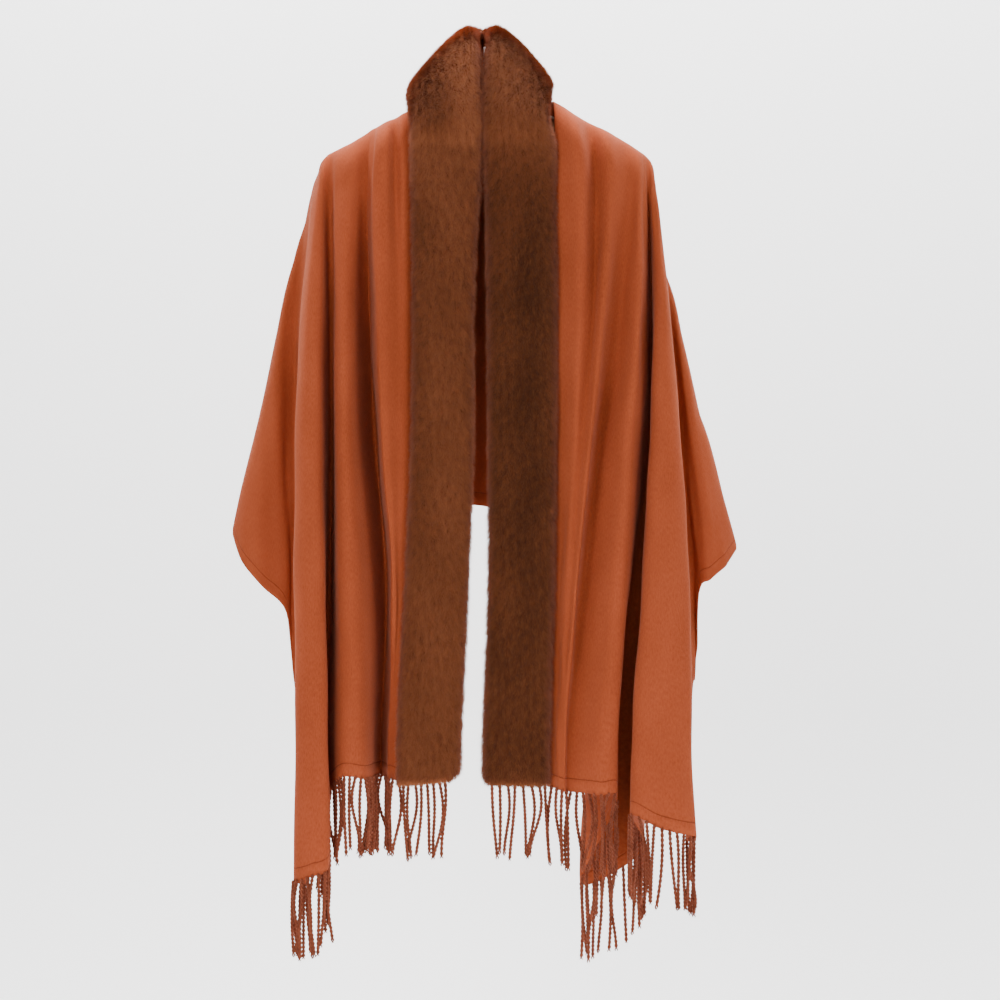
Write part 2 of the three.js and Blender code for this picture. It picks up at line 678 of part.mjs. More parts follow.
function hangerArms() {
  const mirrored = ARM_SECTIONS.slice(1).map((row) => ({ ...row, x: -row.x })).reverse();
  const rows = [...mirrored, ...ARM_SECTIONS];
  const centres = rows.map((row) => new THREE.Vector3(row.x, SHOULDER_Y, row.z));
  const line = new THREE.CatmullRomCurve3(centres);
  const across = new THREE.Vector3(0, 1, 0);
  const last = rows.length - 1;
  const rings = centres.map((c, i) => ring(c, line.getTangent(i / last), rows[i].radius, ARM_SIDES, across));
  const collet = new THREE.CylinderGeometry(COLLET.radius, COLLET.radius, COLLET.height * 2, ARM_SIDES);
  collet.rotateX(Math.PI / 2).translate(0, SHOULDER_Y, ARM_TOP);
  return geometryFrom(solid(turnedOut(tube(rings))).add(solid(collet)));
}

// The wire hook: a stem from the hanger, then a loop whose inside top is the origin.
// The hook is turned edge-on to the front.
function hangerHook() {
  const bottom = ARM_TOP + COLLET.height + SEAM_GAP;
  const loopZ = WIRE_RADIUS - HOOK_RADIUS;
  const centres = [new THREE.Vector3(0, SHOULDER_Y, bottom)];
  for (let k = 0; k <= HOOK_STEPS; k++) {
    const angle = mix(-90, HOOK_END, k / HOOK_STEPS) * (Math.PI / 180);
    const y = SHOULDER_Y + Math.cos(angle) * HOOK_RADIUS;
    centres.push(new THREE.Vector3(0, y, loopZ + Math.sin(angle) * HOOK_RADIUS));
  }
  const line = new THREE.CatmullRomCurve3(centres, false, "centripetal");
  const across = new THREE.Vector3(1, 0, 0);
  const steps = centres.length - 1;
  const rings = centres.map((c, i) => ring(c, line.getTangent(i / steps), WIRE_RADIUS, WIRE_SIDES, across));
  rings[0].forEach((p) => p.setZ(bottom));
  return turnedOut(tube(rings));
}

const shawl = new THREE.Group();
const leftGrid = frontGrid(LEFT_FOLDS);
const rightGrid = frontGrid(RIGHT_FOLDS);
shawl.add(part("shawl_front_left", turnedOut(wall(leftGrid, CLOTH_THICK)), RUST));
shawl.add(part("shawl_front_right", turnedOut(wall(rightGrid, -CLOTH_THICK)), RUST));
shawl.add(part("shawl_back", turnedOut(wall(backGrid(), CLOTH_THICK)), RUST));
shawl.add(part("fur_collar_left", furBand(LEFT_FOLDS, "left"), FUR_BROWN));
shawl.add(part("fur_collar_right", furBand(RIGHT_FOLDS, "right"), FUR_BROWN));
shawl.add(part("fringe_left", fringe(LEFT_FOLDS, "left", leftGrid), RUST));
shawl.add(part("fringe_right", fringe(RIGHT_FOLDS, "right", rightGrid), RUST));
shawl.add(part("hanger_arms", hangerArms(), WOOD));
shawl.add(part("hanger_hook", hangerHook(), STEEL));

export default shawl;
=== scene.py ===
"""Looks for a fringed wool shawl with a plush fur band, hung on a hanger.

Lengths in the tables are millimetres.
"""
import math
from typing import NamedTuple

import bmesh
import bpy
import numpy as np
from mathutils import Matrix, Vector

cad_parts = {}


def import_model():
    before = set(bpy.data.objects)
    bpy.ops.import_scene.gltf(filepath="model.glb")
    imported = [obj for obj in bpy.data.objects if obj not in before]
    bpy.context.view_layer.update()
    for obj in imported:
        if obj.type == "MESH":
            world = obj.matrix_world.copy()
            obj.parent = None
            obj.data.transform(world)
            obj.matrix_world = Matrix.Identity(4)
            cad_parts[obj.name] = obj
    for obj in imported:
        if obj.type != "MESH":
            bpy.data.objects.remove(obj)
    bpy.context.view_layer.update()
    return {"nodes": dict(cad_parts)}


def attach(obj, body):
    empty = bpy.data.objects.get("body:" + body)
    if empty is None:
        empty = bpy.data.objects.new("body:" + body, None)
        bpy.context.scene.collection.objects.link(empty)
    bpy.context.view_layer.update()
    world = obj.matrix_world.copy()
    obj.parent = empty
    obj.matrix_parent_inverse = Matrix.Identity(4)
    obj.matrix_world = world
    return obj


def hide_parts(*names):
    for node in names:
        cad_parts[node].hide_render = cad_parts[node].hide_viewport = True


MM = 0.001
SEED = 7

LEVELS = [-160, -300, -450, -610, -790, -940]


class Fold(NamedTuple):
    """A fold of a front. crest: x and z on the shoulder line; x, y: its place at each level.

    hem: its lower end; round: the height over which it rolls off the shoulder line.
    """

    name: str
    crest: tuple
    x: tuple
    y: tuple
    hem: float
    round: float


LEFT_FOLDS = [
    Fold(
        "seam", crest=(-84, -69), hem=-836, round=45,
        x=(-81, -79, -80, -87, -96, -94), y=(-34, -42, -46, -48, -48, -48),
    ),
    Fold(
        "neck edge", crest=(-94, -73), hem=-835, round=45,
        x=(-93, -90, -91, -93, -100, -99), y=(-40, -49, -52, -51, -48, -48),
    ),
    Fold(
        "neck crease", crest=(-102, -78), hem=-834, round=45,
        x=(-102, -99.5, -100, -97.5, -103.5, -103), y=(-35, -53, -57, -52, -46, -46),
    ),
    Fold(
        "inner ridge", crest=(-112, -82.5), hem=-833, round=45,
        x=(-111.5, -113, -110, -101.5, -106.5, -106.5), y=(-48, -66, -66, -55, -43, -43),
    ),
    Fold(
        "valley brink", crest=(-122, -88), hem=-833, round=45,
        x=(-126, -124, -118, -106, -110, -110), y=(-45, -62, -62, -50, -38, -38),
    ),
    Fold(
        "deep valley", crest=(-129, -91), hem=-832, round=45,
        x=(-132, -130, -123.5, -111.5, -115, -115), y=(-31, -18, -9, -6, -12, -14),
    ),
    Fold(
        "deep floor", crest=(-136, -96), hem=-832, round=45,
        x=(-137, -136, -131, -118, -122, -122), y=(-31, -18, -9, -6, -12, -14),
    ),
    Fold(
        "broad ridge", crest=(-152, -106), hem=-830, round=45,
        x=(-153, -154, -152, -142, -134, -134), y=(-40, -62, -74, -77, -78, -78),
    ),
    Fold(
        "broad shelf", crest=(-168, -114), hem=-827, round=45,
        x=(-168, -168, -168, -164, -159, -159), y=(-36, -56, -66, -76, -84, -84),
    ),
    Fold(
        "narrow valley", crest=(-176, -118), hem=-848, round=45,
        x=(-174, -173, -172, -172, -178, -179), y=(-26, -30, -28, -30, -40, -42),
    ),
    Fold(
        "valley floor", crest=(-180, -120), hem=-868, round=45,
        x=(-179, -179, -179, -180, -187, -188), y=(-25, -29, -27, -29, -39, -41),
    ),
    Fold(
        "outer ridge", crest=(-185, -125), hem=-925, round=45,
        x=(-185, -184, -183, -180, -175, -173), y=(-30, -54, -68, -78, -86, -88),
    ),
    Fold(
        "outer face", crest=(-189, -131), hem=-938, round=45,
        x=(-190, -198, -200, -199, -195, -194), y=(-28, -60, -74, -84, -92, -94),
    ),
    Fold(
        "outer edge", crest=(-192, -142), hem=-945, round=45,
        x=(-194.5, -208.5, -214, -215, -212, -215), y=(-18, -42, -58, -68, -76, -78),
    ),
    Fold(
        "hidden turn", crest=(-200, -166), hem=-940, round=50,
        x=(-200, -209, -212, -210, -201, -198), y=(-10, -22, -30, -38, -46, -48),
    ),
    Fold(
        "tucked edge", crest=(-207, -199), hem=-830, round=60,
        x=(-207, -214, -217, -214, -204, -201), y=(-8, -10, -12, -18, -28, -30),
    ),
    Fold(
        "wing root", crest=(-220, -242), hem=-712, round=90,
        x=(-220, -224, -225, -221.5, -219, -219), y=(-12, -12, -14, -16, -18, -18),
    ),
    Fold(
        "wing face", crest=(-238.5, -320), hem=-646, round=120,
        x=(-238, -238, -236, -227, -226, -226), y=(-22, -22, -22, -22, -22, -22),
    ),
    Fold(
        "wing middle", crest=(-258, -413), hem=-616, round=130,
        x=(-258, -258, -257, -254, -254, -254), y=(-26, -26, -26, -26, -26, -26),
    ),
    Fold(
        "wing outer", crest=(-280, -502), hem=-588, round=110,
        x=(-280, -280, -280, -277, -277, -277), y=(-20, -20, -20, -20, -20, -20),
    ),
    Fold(
        "wing tip", crest=(-290, -549), hem=-557, round=45,
        x=(-290, -290, -290, -289, -289, -289), y=(-9, -9, -9, -9, -9, -9),
    ),
]
RIGHT_FOLDS = [
    Fold(
        "seam", crest=(79, -59), hem=-842, round=45,
        x=(78, 79, 78, 76, 71, 70), y=(-34, -42, -46, -48, -48, -48),
    ),
    Fold(
        "neck edge", crest=(91, -66), hem=-843, round=45,
        x=(90, 91, 89, 85, 79.5, 79), y=(-41, -49, -53, -53, -53, -53),
    ),
    Fold(
        "yoke fold", crest=(104, -75), hem=-844, round=45,
        x=(110, 108, 101, 91.5, 83.5, 82.5), y=(-50, -62, -67, -64, -60, -59),
    ),
    Fold(
        "dimple", crest=(120, -84), hem=-845, round=45,
        x=(126, 123, 110, 98, 87, 86), y=(-24, -48, -64, -66, -63, -62),
    ),
    Fold(
        "inner ridge", crest=(139, -93), hem=-846, round=45,
        x=(143, 134, 120, 104.5, 91.5, 90.5), y=(-42, -64, -72, -71, -64, -62),
    ),
    Fold(
        "slant valley", crest=(160, -105), hem=-847, round=45,
        x=(164, 153, 131, 114.5, 99, 98), y=(-28, -36, -38, -44, -52, -54),
    ),
    Fold(
        "slant ridge", crest=(174, -114), hem=-848, round=45,
        x=(175, 172, 158, 145, 131, 127), y=(-33, -58, -72, -78, -80, -80),
    ),
    Fold(
        "valley lip", crest=(180, -118), hem=-856, round=45,
        x=(181, 180, 172, 162, 150.5, 148), y=(-27, -48, -60, -66, -68, -68),
    ),
    Fold(
        "deep valley", crest=(184, -121), hem=-958, round=45,
        x=(185, 188, 184, 166, 124, 110), y=(-20, -20, -18, -14, -12, -12),
    ),
    Fold(
        "pocket back", crest=(188, -125), hem=-920, round=45,
        x=(188, 191, 190, 181, 180, 182), y=(-18, -17, -12, -6, -2, -2),
    ),
    Fold(
        "outer ridge", crest=(191, -129), hem=-870, round=45,
        x=(191, 193.5, 187, 178, 164.5, 161), y=(-21.5, -48, -62, -72, -80, -82),
    ),
    Fold(
        "outer face", crest=(193.5, -136), hem=-884, round=45,
        x=(194.5, 203, 207, 204, 197, 196), y=(-21.5, -56, -74, -84, -92, -94),
    ),
    Fold(
        "outer edge", crest=(195, -148), hem=-894, round=45,
        x=(197.5, 209, 221, 229.5, 231.5, 238), y=(-16, -42, -58, -68, -76, -78),
    ),
    Fold(
        "hidden turn", crest=(198, -182), hem=-890, round=50,
        x=(199, 207.5, 217.5, 224, 225, 229), y=(-10, -22, -30, -38, -46, -48),
    ),
    Fold(
        "tucked edge", crest=(201, -213), hem=-738, round=60,
        x=(202, 211, 222, 232, 238, 239), y=(-8, -10.5, -13, -19, -26, -28),
    ),
    Fold(
        "wing root", crest=(206, -252), hem=-716, round=90,
        x=(206, 214, 227, 239, 241, 241), y=(-10, -10.5, -13.5, -16, -18, -18),
    ),
    Fold(
        "wing face", crest=(226, -326), hem=-624, round=120,
        x=(226, 226, 233, 243, 243, 243), y=(-22, -22, -22, -22, -22, -22),
    ),
    Fold(
        "wing middle", crest=(247, -419), hem=-608, round=130,
        x=(247, 247, 251, 258, 258, 258), y=(-26, -26, -26, -26, -26, -26),
    ),
    Fold(
        "wing outer", crest=(273, -509), hem=-592, round=110,
        x=(273, 273, 273, 276, 276, 276), y=(-20, -20, -20, -20, -20, -20),
    ),
    Fold(
        "wing tip", crest=(289, -568), hem=-574, round=45,
        x=(289, 289, 289, 289, 289, 289), y=(-9, -9, -9, -9, -9, -9),
    ),
]

BACK_DEPTH = 62  # how far the middle of the back stands behind the shoulder line
TIP_DEPTH = 26  # and the two tips
BACK_ROUND = 150  # height over which the back rolls off the shoulder line
BACK_FOLD_START = 260  # height over which its folds grow
BACK_FOLD_LIFT = 0.35  # how far the hem falls for each millimetre of a fold
# Soft folds of the back: place from the left tip (-1) to the right tip (1), width, depth.
BACK_FOLDS = [
    (-0.78, 0.13, 15),
    (-0.52, 0.1, -17),
    (-0.3, 0.12, 14),
    (-0.07, 0.1, -12),
    (0.15, 0.11, 13),
    (0.38, 0.1, -18),
    (0.62, 0.12, 16),
    (0.84, 0.08, -9),
]
BACK_HEM = -527
BACK_SEAM_Y = 30
BACK_SEAM_Z = -58
NECK_SHARE = 0.3  # share of a back's half that the neck seam takes

COLUMNS_PER_FOLD = 6
FRONT_ROWS = 90
FRONT_CROWDING = 1.4  # rows stand closer together near the shoulder
BACK_ROWS = 60
BACK_CROWDING = 1.3
NECK_COLUMNS = 24
LEVEL_CLEARANCE = 12  # a level counts for a fold from this far below its crest
CLOTH_THICK = 1.7
WELD = 0.00002  # metres between points of the seams that become one

# Soft unevenness of the hanging cloth.
WRINKLE_DEPTH = 0.9
WRINKLE_WAVES = 9
WRINKLE_SIZE = 0.05  # metres, across the folds
WRINKLE_STRETCH = 0.35  # longer down the cloth
WRINKLE_EASE = 0.05  # metres below the shoulder line over which it grows
STITCH_ABOVE = 15  # the hem is sewn this far above its edge
STITCH_WIDTH = 0.9  # half of the groove

# The fur band: thickness of its core in front and behind, and how far the core stops short of the edges.
FUR_CORE_OUT = 13
FUR_CORE_IN = 3
FUR_INSET = 0.045
NECK_INSET = 0.004  # along the inner edge where the two halves meet
NECK_FROM = 0.46  # share of the band at which its inner edge nears the other half
NECK_OVER = 0.08
JOIN = 0.5  # how far each half passes the middle of the back
END_SECTIONS = 6  # sections over which the core rounds off at the hem
END_SHARE = 0.2
CROWN_POWER = 3.2  # how square its cross section is: 2 is round
FUR_SECTIONS = 200
FUR_ACROSS = 24
FUR_HALFWAY = 0.62  # half of the sections stand below this share of the band's lines

# The band's lines. They follow the cloth's edge below the neck.
FUR_HEM = -838
FUR_LAP_X = 5  # how far the cloth's edge is tucked in behind the band
FUR_LAP_Y = 4
FUR_TILT = 4  # how far the inner edge stands behind the outer one
FUR_DISH = 1  # how far the band's middle stands in front of its edges
FUR_CORNER_RISE = 0.6  # how far the corner rises for each millimetre cut off it
MEET_X = -2.3  # the two halves of the collar meet on this line
FUR_HEIGHTS = [FUR_HEM, -822, -790, -740, -680, -610, -530, -450, -375, -300, -230, -170, -118]
# inner: x of the inner edge at each level; width and rise: of the turn over the shoulder; shade: base tone of
# the pile, set lower on the right band as painted shade.
FUR_LEFT = {
    "inner": (-4, -11, -11, -16, -24.5, -28),
    "corner": 10, "sign": 1, "width": 0.94, "rise": 0, "shade": 0.6,
}
FUR_RIGHT = {
    "inner": (-1, 0.5, 1.5, 1.5, -5, -6),
    "corner": 3, "sign": -1, "width": 0.86, "rise": 10, "shade": 0.36,
}
# One row per section of the turn: inner edge, middle and outer edge as x out from the meeting line, y, z.
FUR_TURN = [
    ((0.7, -40, -80), (46, -43, -86), (90, -38, -92)),
    ((0.7, -35, -40), (54, -27, -44), (90, -4, -57)),
    ((3.2, -28, -6), (46, -7, -15), (75, 24, -60)),
    ((6, -13, 13), (30, 12, -3), (44, 33.5, -63)),
    ((8, -1, 17.5), (14, 21, -3), (19, 35.5, -64)),
    ((0.4, 8, 20), (0.4, 24, -4), (0.4, 36, -64)),
]

# The pile.
HIDDEN_SHARE = 0.35  # share of the pile on the side that faces the cloth
PAINTED_SHEEN_WIDTH = 0.03  # share of the ring that gets painted sheen at each edge
HAIRS_PER_PIECE = 158000
PIECES_PER_SIDE = 2
HAIR_LENGTH = 6.5
HAIR_WIDTH = 0.55
HAIR_STAND = 0.75  # how far a hair points out of the surface, for its lean along it
HAIR_LEAN = 0.75
HAIR_SWAY = 0.28
HAIR_BEND = 0.35
EYE = (-2.3, -14, 2)  # the gap at the neck, where the pile is short
EYE_REACH = 16
EYE_SHORTEST = 0.3
# Painted light: the pile is brighter over the shoulders.
DOME_PAINTED_LIGHT = 0.3
DOME_FROM = -220
DOME_OVER = 160
# How strongly the painted shade patches darken the pile.
PAINTED_SHADE_STRENGTH = 0.5
# Painted shade: darker patches of the pile: name, x, z, half-width, half-height, depth.
PAINTED_SHADE_PATCHES = [
    ("left shoulder", -56, -62, 24, 50, 0.8),
    ("left edge", -76, -330, 12, 230, 0.2),
    ("right outer", 48, -420, 17, 320, 0.22),
]

# The fringe: strands of two twisted plies that hang in small groups.
STRANDS = 60
STRAND_LENGTH = 88
STRAND_VARY = 0.05
STRAND_LEAN = 2.0
STRAND_BOW = 2.6
GATHER = 0.5  # how far a strand swings towards the middle of its group
GROUP_MOST = 4
ROOT_UNDER_FUR = 3  # how far the roots are tucked into the band
ROOT_UNDER_HEM = 1.5  # and into the cloth
PLY_RADIUS = 1.3
PLY_SIDES = 4
PLY_STEPS = 60
PLY_TURNS = 9
PLY_SPREAD = 0.75  # from the strand's middle to a ply's, in radii
PLY_OPENING = 0.5  # how much further apart the plies are at the end
OPENS_FROM = 0.93  # share of the length
FADES_FROM = 0.94
END_SIZE = 0.4

# The camera, in metres, at the photograph's angle.
CAMERA_X = 0.01725
CAMERA_Z = -0.5175
CAMERA_AWAY = 3.0
FRAME_WIDTH = 1.15
SENSOR = 36

# The studio, in metres: a paper sweep, and lights as place, aim, size and power.
PAPER_Y = 1.1
PAPER_TOP = 1.6
PAPER_FLOOR = -1.35
PAPER_BEND = 0.5
PAPER_HALF = 4
PAPER_STEPS = 12
AIM = (0, 0, -0.5)
LIGHTS = {
    "key": ((-1.05, -2.35, 1.0), AIM, (0.9, 0.9), 47),
    "fill": ((2.0, -1.9, 0.4), AIM, (1.2, 1.2), 25),
    "top": ((0, 0, 1.9), AIM, (1.6, 1.6), 18),
    "paper_wash": ((0, 0.3, 1.6), (0, 1.1, -0.6), (3.0, 0.6), 190),
}
WORLD_COLOUR = (0.9, 0.92, 0.95, 1)
WORLD_STRENGTH = 0.14


def through(values, place):
    """A smooth line through evenly spaced values, or grids of values, read at places from 0 to the last."""
    last = len(values) - 1
    i = np.clip(np.floor(place).astype(int), 0, last - 1)
    t = place - i
    values = np.asarray(values, float)
    if values.ndim == 1:
        a, b = values[np.maximum(i - 1, 0)], values[i]
        c, d = values[i + 1], values[np.minimum(i + 2, last)]
    else:
        column = np.arange(values.shape[1])[:, None]
        row = np.arange(values.shape[2])[None, :]
        a, b = values[np.maximum(i - 1, 0), column, row], values[i, column, row]
        c, d = values[i + 1, column, row], values[np.minimum(i + 2, last), column, row]
    curve = 2 * a - 5 * b + 4 * c - d + t * (3 * b - a - 3 * c + d)
    return b + 0.5 * t * (c - a + t * curve)


def at_height(heights, values, z):
    """Smooth values given at falling heights, held level past both ends."""
    heights = np.asarray(heights, float)
    values = np.asarray(values, float)
    last = len(heights) - 1
    k = np.arange(last + 1)
    low, high = np.maximum(k - 1, 0), np.minimum(k + 1, last)
    slope = (values[high] - values[low]) / (heights[high] - heights[low])
    inside = np.clip(z, heights[-1], heights[0])
    i = np.clip(np.searchsorted(-heights, -inside, side="left") - 1, 0, last - 1)
    span = heights[i + 1] - heights[i]
    t = (inside - heights[i]) / span
    t2, t3 = t * t, t * t * t
    start = (2 * t3 - 3 * t2 + 1) * values[i] + (t3 - 2 * t2 + t) * span * slope[i]
    return start + (3 * t2 - 2 * t3) * values[i + 1] + (t3 - t2) * span * slope[i + 1]


def roll(drop, round_height):
    """How far a point that lies drop below the shoulder line has rolled away from it, from 0 to 1."""
    left = 1 - np.clip(drop / round_height, 0, 1)
    return np.sqrt(1 - left * left)


def crest_at(folds, place):
    x = through([f.crest[0] for f in folds], place)
    return x, through([f.crest[1] for f in folds], place)


def hem_at(folds, place):
    return through([f.hem for f in folds], place)


def front_points(folds, place, z):
    """Points of a front for arrays of place and z of the same two-dimensional shape."""
    xs, ys = [], []
    for fold in folds:
        top_x, top_z = fold.crest
        below = [level for level in LEVELS if level < top_z - LEVEL_CLEARANCE]
        x_below = fold.x[len(LEVELS) - len(below):]
        xs.append(at_height([top_z, *below], [top_x, *x_below], z))
        ys.append(at_height(LEVELS, fold.y, z))
    drop = crest_at(folds, place)[1] - z
    rounds = through([f.round for f in folds], place)
    y = through(np.array(ys), place) * roll(drop, rounds)
    return np.stack([through(np.array(xs), place), y, z], axis=-1)


def front_grid(folds):
    """A front as columns of points, from the shoulder line to the hem."""
    columns = (len(folds) - 1) * COLUMNS_PER_FOLD + 1
    place = np.arange(columns) / COLUMNS_PER_FOLD
    top = crest_at(folds, place)[1]
    hem = hem_at(folds, place)
    fall = (np.arange(FRONT_ROWS + 1) / FRONT_ROWS) ** FRONT_CROWDING
    z = top[:, None] + (hem - top)[:, None] * fall[None, :]
    return front_points(folds, np.repeat(place[:, None], FRONT_ROWS + 1, axis=1), z)


def neck_seam(folds, turn):
    """The seam under the collar, turned from the side of the neck to its back."""
    side_x, side_z = folds[0].crest
    x = side_x * np.cos(turn)
    z = side_z + (BACK_SEAM_Z - side_z) * np.sin(turn)
    return np.stack([x, BACK_SEAM_Y * np.sin(turn), z], axis=-1)


def back_half(folds, sign):
    """One half of the back, from the middle to the wing's tip, whose top row meets the front's top row."""
    columns = (len(folds) - 1) * COLUMNS_PER_FOLD + 1
    place = np.arange(columns) / COLUMNS_PER_FOLD
    turn = (1 - np.arange(NECK_COLUMNS) / NECK_COLUMNS) * math.pi / 2
    neck = neck_seam(folds, turn)
    x, z = crest_at(folds, place)
    shoulder = np.stack([x, np.zeros_like(x), z], axis=-1)
    top = np.concatenate([neck, shoulder])
    out = np.concatenate([
        NECK_SHARE * np.arange(NECK_COLUMNS) / NECK_COLUMNS,
        NECK_SHARE + (1 - NECK_SHARE) * place / (len(folds) - 1),
    ])
    across = sign * out
    folded = sum(depth * np.exp(-(((across - at) / width) ** 2)) for at, width, depth in BACK_FOLDS)
    tip_x, tip_hem = folds[-1].crest[0], folds[-1].hem
    hem = BACK_HEM + (tip_hem - BACK_HEM) * out**2 - BACK_FOLD_LIFT * folded
    fall = (np.arange(BACK_ROWS + 1) / BACK_ROWS) ** BACK_CROWDING
    zs = top[:, 2, None] + (hem - top[:, 2])[:, None] * fall
    drop = top[:, 2, None] - zs
    plain = BACK_DEPTH + (TIP_DEPTH - BACK_DEPTH) * out**2
    full = plain[:, None] + folded[:, None] * np.clip(drop / BACK_FOLD_START, 0, 1)
    ys = top[:, 1, None] + (full - top[:, 1, None]) * roll(drop, BACK_ROUND)
    xs = top[:, 0, None] + (tip_x * out - top[:, 0])[:, None] * np.sin(fall * math.pi / 2)
    return np.stack([xs, ys, zs], axis=-1)


def unit(vectors):
    return vectors / np.maximum(np.linalg.norm(vectors, axis=-1, keepdims=True), 1e-9)


def grid_normals(grid):
    return unit(np.cross(np.gradient(grid, axis=0), np.gradient(grid, axis=1)))


def grid_faces(columns, rows, offset, flip):
    i, j = np.meshgrid(np.arange(columns - 1), np.arange(rows - 1), indexing="ij")
    a = (offset + i * rows + j).ravel()
    quad = np.stack([a, a + rows, a + rows + 1, a + 1], axis=-1)
    return quad[:, ::-1] if flip else quad


def make_mesh(name, points, faces):
    mesh = bpy.data.meshes.new(name)
    faces = np.asarray(faces)
    corners = faces.shape[1]
    mesh.vertices.add(len(points))
    mesh.vertices.foreach_set("co", (np.asarray(points, np.float32) * MM).ravel())
    mesh.loops.add(faces.size)
    mesh.loops.foreach_set("vertex_index", faces.astype(np.int32).ravel())
    mesh.polygons.add(len(faces))
    mesh.polygons.foreach_set("loop_start", np.arange(0, faces.size, corners, dtype=np.int32))
    mesh.polygons.foreach_set("use_smooth", np.full(len(faces), True))
    mesh.update()
    mesh.validate()
    obj = bpy.data.objects.new(name, mesh)
    bpy.context.scene.collection.objects.link(obj)
    return obj


def length_uv(grid):
    """Distance along and down the cloth, in metres."""
    along = np.linalg.norm(np.diff(grid, axis=0), axis=-1)
    down = np.linalg.norm(np.diff(grid, axis=1), axis=-1)
    middle = grid.shape[1] // 2
    u = np.concatenate([[0], np.cumsum(along[:, middle])])
    v = np.concatenate([np.zeros((grid.shape[0], 1)), np.cumsum(down, axis=1)], axis=1)
    return np.stack([np.repeat(u[:, None], grid.shape[1], axis=1), v], axis=-1) * MM


def soft_noise(u, v, rng, waves, size):
    """A smooth random field from a few crossed waves, about -1 to 1."""
    total = np.zeros_like(u)
    for _ in range(waves):
        angle = rng.uniform(0, 2 * math.pi)
        count = 2 * math.pi / (size * rng.uniform(0.7, 1.6))
        total += np.sin(count * (u * math.cos(angle) + v * math.sin(angle)) + rng.uniform(0, 2 * math.pi))
    return total / math.sqrt(waves)


def add_uv(mesh, uv, faces):
    layer = mesh.uv_layers.new(name="cloth")
    layer.data.foreach_set("uv", uv[np.asarray(faces).ravel()].astype(np.float32).ravel())


def wrinkled(grid, uv, rng):
    u, v = uv[..., 0], uv[..., 1]
    wrinkle = WRINKLE_DEPTH * soft_noise(u, v * WRINKLE_STRETCH, rng, WRINKLE_WAVES, WRINKLE_SIZE)
    ease = np.clip(v / WRINKLE_EASE, 0, 1)
    return grid + grid_normals(grid) * (wrinkle * ease)[..., None]


def shawl_grids():
    """The three grids of the cloth, and whether each one's faces are turned."""
    back_left = back_half(LEFT_FOLDS, -1)
    back_right = back_half(RIGHT_FOLDS, 1)
    back = np.concatenate([back_left[::-1], back_right[1:]])
    return [(front_grid(LEFT_FOLDS), False), (front_grid(RIGHT_FOLDS), True), (back, False)]


def edit_mesh(obj, work):
    """Runs work on the object's mesh as a bmesh."""
    bm = bmesh.new()
    bm.from_mesh(obj.data)
    work(bm)
    bm.to_mesh(obj.data)
    bm.free()


def build_shawl(rng):
    points, faces, uvs, above_hem = [], [], [], []
    offset = 0
    for flat_grid, flip in shawl_grids():
        uv = length_uv(flat_grid)
        grid = wrinkled(flat_grid, uv, rng)
        columns, rows = grid.shape[:2]
        points.append(grid.reshape(-1, 3))
        faces.append(grid_faces(columns, rows, offset, flip))
        uvs.append(uv.reshape(-1, 2))
        above_hem.append(((uv[:, -1:, 1] - uv[..., 1]) / MM).reshape(-1))
        offset += columns * rows
    faces = np.concatenate(faces)
    shawl = make_mesh("shawl_cloth", np.concatenate(points), faces)
    add_uv(shawl.data, np.concatenate(uvs), faces)
    hem = shawl.data.attributes.new("above_hem", "FLOAT", "POINT")
    hem.data.foreach_set("value", np.concatenate(above_hem).astype(np.float32))
    edit_mesh(shawl, lambda bm: bmesh.ops.remove_doubles(bm, verts=bm.verts, dist=WELD))
    thick = shawl.modifiers.new("thick", "SOLIDIFY")
    thick.thickness = CLOTH_THICK * MM
    thick.offset = -1
    return shawl


def catmull(points, t):
    """A smooth curve through rows of points, read at t from 0 to 1."""
    points = np.asarray(points, float)
    place = t * (len(points) - 1)
    return np.stack([through(points[:, axis], place) for axis in range(3)], axis=-1)


def fur_lines(folds, side):
    """The band's inner edge, middle and outer edge, from the hem to the middle of the back."""
    sign = side["sign"]
    z = np.array(FUR_HEIGHTS, float)
    outer = front_points(folds, np.zeros((1, len(z))), z[None, :])[0]
    outer += np.array([-FUR_LAP_X * sign, -FUR_LAP_Y, 0])
    inner = np.stack([at_height(LEVELS, side["inner"], z), outer[:, 1] + FUR_TILT, z], axis=-1)
    inner[0] += np.array([-side["corner"] * sign, 0, side["corner"] * FUR_CORNER_RISE])
    middle = (inner + outer) / 2 + np.array([0, -FUR_DISH, 0])
    lines = [list(inner), list(middle), list(outer)]
    steps = len(FUR_TURN) - 1
    for i, row in enumerate(FUR_TURN):
        rise = side["rise"] * (1 - i / steps)
        for line, (out, y, up), share in zip(lines, row, (0, 0.5, 1)):
            line.append(np.array([MEET_X - out * sign * side["width"], y, up + rise * share]))
    return lines


def fur_grid(folds, side, inset=0.0, neck_inset=0.0):
    """Columns along the band and places across it, from the hem to the middle of the back."""
    share = np.linspace(0, 1, FUR_SECTIONS + 1)
    risen = np.clip((share - NECK_FROM) / NECK_OVER, 0, 1)[:, None]
    first = inset + (neck_inset - inset) * risen
    upper = FUR_HALFWAY + (share - 0.5) * 2 * (1 - FUR_HALFWAY)
    along = np.where(share < 0.5, share * 2 * FUR_HALFWAY, upper)
    inner, middle, outer = [catmull(line, along)[:, None, :] for line in fur_lines(folds, side)]
    w = (first + (1 - inset - first) * np.linspace(0, 1, FUR_ACROSS + 1)[None, :])[..., None]
    return inner * (1 - w) * (1 - 2 * w) + middle * 4 * w * (1 - w) + outer * w * (2 * w - 1)


def crown():
    """The height of the core's cross section, from one edge to the other."""
    w = np.linspace(-1, 1, FUR_ACROSS + 1)
    return np.sqrt(np.maximum(1 - np.abs(w) ** CROWN_POWER, 0))


